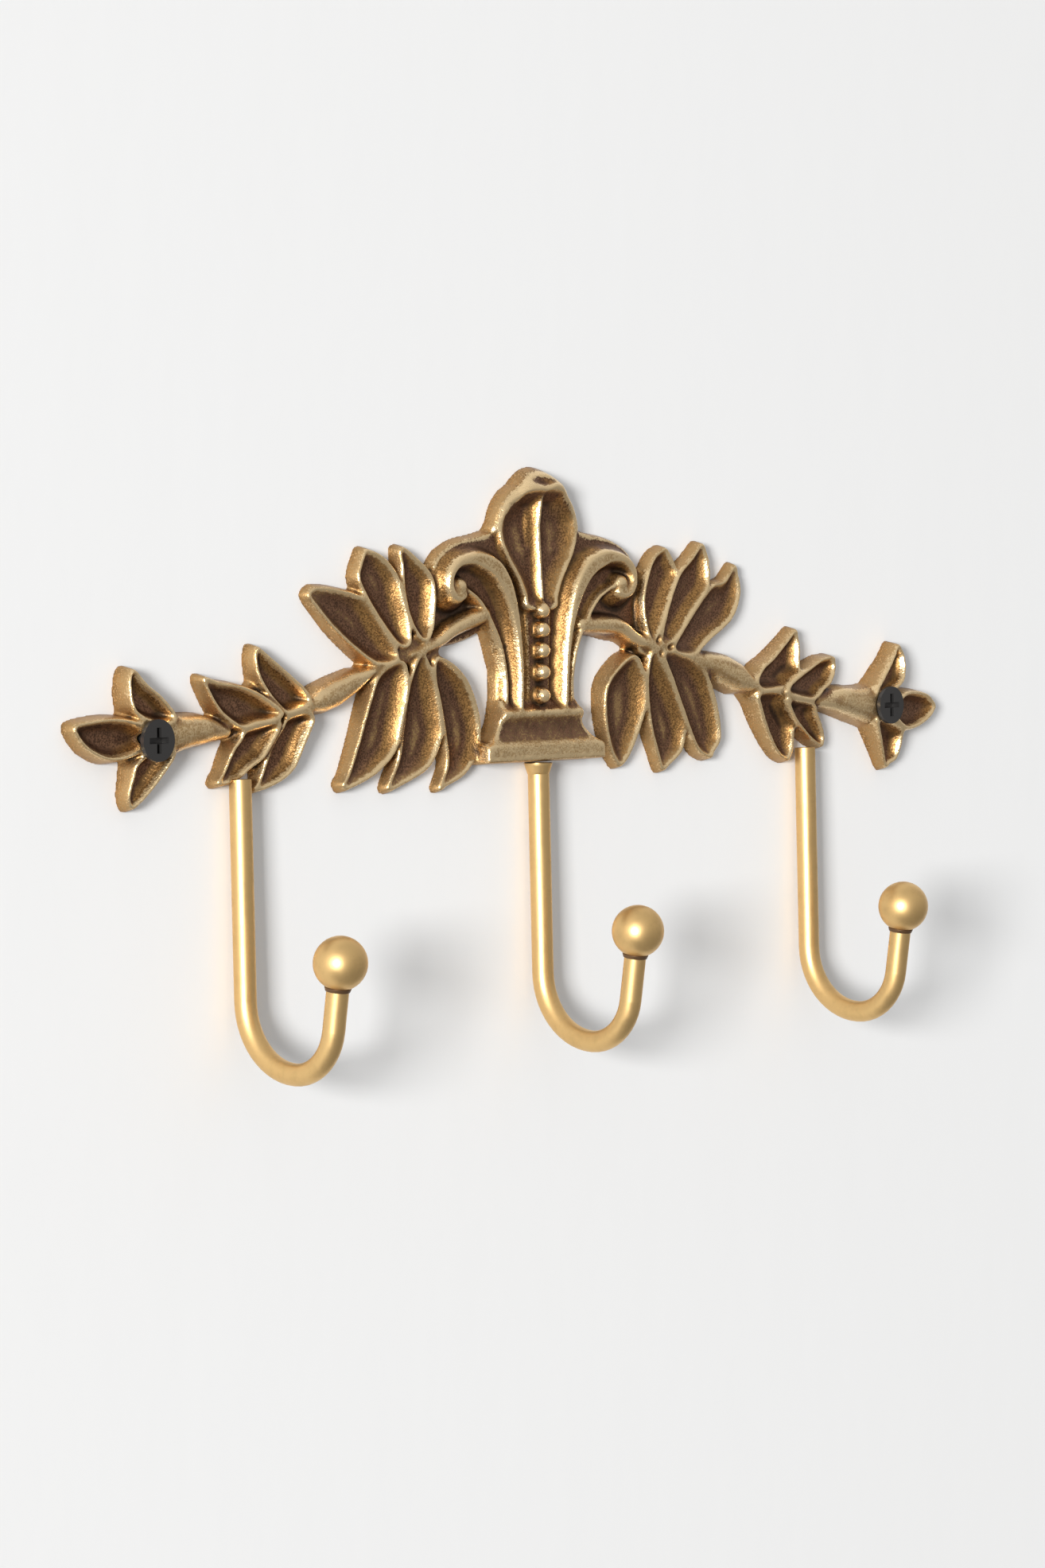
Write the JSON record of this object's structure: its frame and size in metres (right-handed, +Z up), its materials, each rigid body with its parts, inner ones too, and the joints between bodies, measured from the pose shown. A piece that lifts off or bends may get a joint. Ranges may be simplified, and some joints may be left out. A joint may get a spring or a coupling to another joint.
{
  "type": "wall hook rack",
  "caption": "Cast antique-brass leaf crest for a wall, with bent round-rod hooks that end in balls, held by countersunk screws.",
  "frame": {"origin": "midway between the two screw axes, on the wall plane", "axes": "+X to the right seen from the front, +Y into the wall, +Z up"},
  "size_m": [0.2934, 0.0646, 0.135],
  "materials": {
    "cast_brass": "antique cast brass, dark in the hollows, rubbed bright on the edges",
    "rod_brass": "satin drawn brass",
    "black_screw": "black oxide"
  },
  "bodies": {
    "root": {"crest_casting": "cast_brass", "hook_rods": "rod_brass", "hook_balls": "rod_brass", "wall_screws": "black_screw"}
  },
  "joints": []
}
